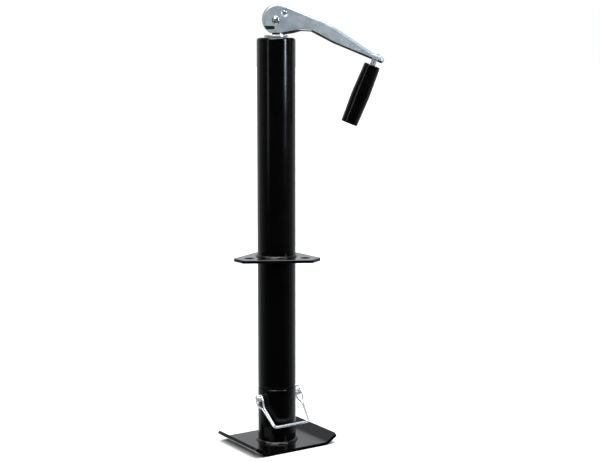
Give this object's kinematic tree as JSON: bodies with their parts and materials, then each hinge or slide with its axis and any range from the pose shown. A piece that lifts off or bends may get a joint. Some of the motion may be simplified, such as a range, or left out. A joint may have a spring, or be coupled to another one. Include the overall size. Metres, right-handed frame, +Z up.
{
  "type": "trailer tongue jack",
  "caption": "Top-wind A-frame trailer jack: black tube with bolt-on flange, screw-driven drop leg, foot held by a wire lock pin, folding crank handle.",
  "frame": {"origin": "centre of the foot plate's underside, on the tube's axis, with the leg fully retracted", "axes": "+Z up the tube; +X along the foot's lock pin towards its domed head, and through one bolt hole of the flange; +Y towards the lock pin's bail, at 90 degrees to both"},
  "size_m": [0.2112, 0.1554, 0.658],
  "materials": {
    "tube_paint": "gloss black powder coat on drawn tube",
    "flange_paint": "gloss black powder coat on cut plate",
    "weld_paint": "gloss black powder coat over rippled weld bead",
    "foot_paint": "gloss black powder coat on pressed plate",
    "zinc_pressed": "bright zinc plate on pressed sheet",
    "zinc_turned": "bright zinc plate on the handle's rivets",
    "zinc_bright": "pale bright zinc plate on washers, spindle and lock pin",
    "zinc_wire": "bright zinc plate on spring wire",
    "grip_plastic": "black moulded plastic with a soft sheen",
    "dark_steel": "dark oiled steel",
    "bearing_steel": "ground bearing steel",
    "bronze": "bearing bronze"
  },
  "bodies": {
    "drop_leg": {"inner_tube": "dark_steel", "lift_nut": "bronze", "nut_plug_welds": "dark_steel", "foot_sleeve": "tube_paint", "foot_plate": "foot_paint", "foot_weld": "weld_paint"},
    "barrel": {"outer_tube": "tube_paint", "mounting_flange": "flange_paint", "flange_weld_top": "weld_paint", "flange_weld_bottom": "weld_paint", "top_cap": "dark_steel", "neck_bush": "bronze", "upper_race": "bearing_steel"},
    "screw": {"lead_screw": "dark_steel", "lower_race": "bearing_steel", "bearing_balls": "bearing_steel", "bearing_cage": "bronze", "thrust_washer": "zinc_bright", "screw_stop": "dark_steel", "stop_roll_pin": "bearing_steel"},
    "pin": {"lock_pin": "zinc_bright", "wire_bail": "zinc_wire"},
    "handle": {"handle_arm": "zinc_pressed", "pivot_rivet": "zinc_turned", "cheek_rivet": "zinc_turned", "grip_spindle": "zinc_bright", "spindle_washer": "zinc_bright"},
    "grip": {"handle_grip": "grip_plastic", "grip_plug": "grip_plastic"}
  },
  "joints": [
    {"name": "leg_slide", "type": "slide", "parent": "drop_leg", "child": "barrel", "axis": [0, 0, 1], "range_m": [0, 0.3811]},
    {"name": "screw_turn", "type": "hinge", "parent": "barrel", "child": "screw", "pos_m": [0, 0, 0.6], "axis": [0, 0, -1], "range_deg": [0, 27000]},
    {"name": "pin_turn", "type": "hinge", "parent": "drop_leg", "child": "pin", "pos_m": [0, 0, 0.0728], "axis": [1, 0, 0], "range_deg": [-12, 92]},
    {"name": "handle_fold", "type": "hinge", "parent": "screw", "child": "handle", "pos_m": [0, 0, 0.6343], "axis": [0.5373, 0.8434, 0], "range_deg": [0, 39]},
    {"name": "grip_spin", "type": "hinge", "parent": "handle", "child": "grip", "pos_m": [-0.10478, 0.06675, 0.52674], "axis": [-0.3118, 0.1987, 0.9291], "continuous": true}
  ],
  "couplings": [
    {"joint": "leg_slide", "follows": "screw_turn", "m_per_rad": 0.00080851}
  ]
}
